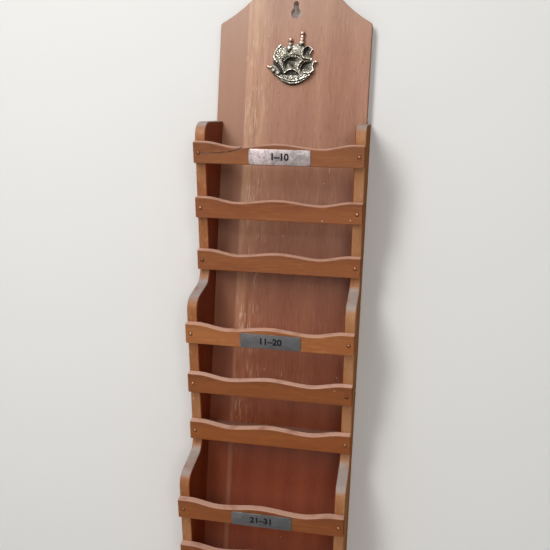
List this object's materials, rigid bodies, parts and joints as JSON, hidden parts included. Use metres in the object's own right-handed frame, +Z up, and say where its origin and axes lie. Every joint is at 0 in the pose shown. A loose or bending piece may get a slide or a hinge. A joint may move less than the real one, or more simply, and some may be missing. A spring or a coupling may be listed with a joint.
{
  "type": "wall mail organizer",
  "caption": "Tall wooden wall rack with a shaped back board, leaning slatted letter pockets one above the other, metal label plates and a cast ship emblem.",
  "frame": {"origin": "axis of the keyhole's round hole, on the wall plane at the board's back face", "axes": "+Z up along the board, +Y into the wall, the pockets open towards -Y and up, +X to the viewer's right"},
  "size_m": [0.15, 0.074, 0.6],
  "materials": {
    "board_wood": "satin varnish",
    "side_wood": "satin varnish",
    "slat_wood": "satin varnish",
    "floor_wood": "thin varnish, dusty",
    "plate_metal": "satin, worn",
    "emblem_brass": "antique, dark in the hollows",
    "nail_brass": "tarnished",
    "pin_steel": "plain"
  },
  "bodies": {
    "root": {"backboard": "board_wood", "left_side": "side_wood", "right_side": "side_wood", "upper_pocket_top_slat": "slat_wood", "upper_pocket_middle_slat": "slat_wood", "upper_pocket_bottom_slat": "slat_wood", "upper_pocket_floor": "floor_wood", "upper_label_plate": "plate_metal", "middle_pocket_top_slat": "slat_wood", "middle_pocket_middle_slat": "slat_wood", "middle_pocket_bottom_slat": "slat_wood", "middle_pocket_floor": "floor_wood", "middle_label_plate": "plate_metal", "lower_pocket_top_slat": "slat_wood", "lower_pocket_middle_slat": "slat_wood", "lower_pocket_bottom_slat": "slat_wood", "lower_pocket_floor": "floor_wood", "lower_label_plate": "plate_metal", "ship_emblem": "emblem_brass", "slat_nails": "nail_brass", "back_pins": "pin_steel"}
  },
  "joints": []
}
